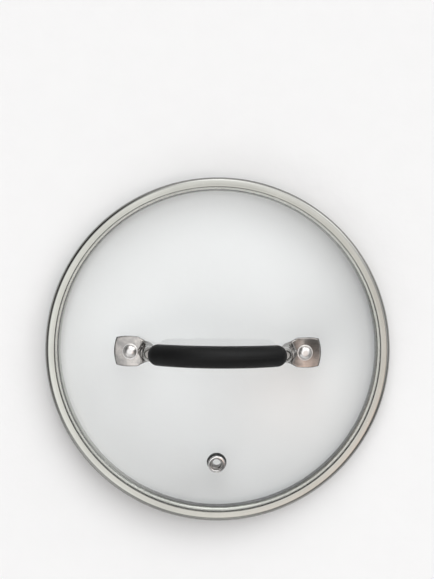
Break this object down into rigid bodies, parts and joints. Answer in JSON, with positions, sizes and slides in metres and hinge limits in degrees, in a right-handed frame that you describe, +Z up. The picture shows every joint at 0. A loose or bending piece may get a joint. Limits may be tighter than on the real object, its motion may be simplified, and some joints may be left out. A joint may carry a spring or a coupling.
{
  "type": "glass saucepan lid",
  "caption": "Round domed glass saucepan lid with a folded steel rim, a riveted steel bow handle with a black grip, and a steam vent.",
  "frame": {"origin": "centre of the rim's lower edge, on the surface that the lid stands on", "axes": "+Z up through the dome's crown, +X along the handle, and the steam vent on the -Y side"},
  "size_m": [0.211, 0.211, 0.0676],
  "materials": {
    "stainless_rim": "satin stainless sheet, spun round the rim",
    "clear_glass": "clear tempered glass, faintly green",
    "polished_steel": "polished stainless steel",
    "rivet_steel": "bright stainless rivet",
    "eyelet_steel": "pressed bright stainless eyelet",
    "black_grip": "matte black moulded silicone",
    "black_seal": "black silicone"
  },
  "bodies": {
    "root": {"rim_ring": "stainless_rim", "glass_dome": "clear_glass", "handle_bar": "polished_steel", "handle_grip": "black_grip", "vent_eyelet": "eyelet_steel", "vent_top_seal": "black_seal", "vent_bush": "black_seal", "vent_washer": "polished_steel", "foot_pad_left": "black_seal", "foot_pad_right": "black_seal", "rivet_bush_left": "black_seal", "rivet_bush_right": "black_seal", "under_washer_left": "polished_steel", "under_washer_right": "polished_steel", "rivet_left": "rivet_steel", "rivet_right": "rivet_steel"}
  },
  "joints": []
}
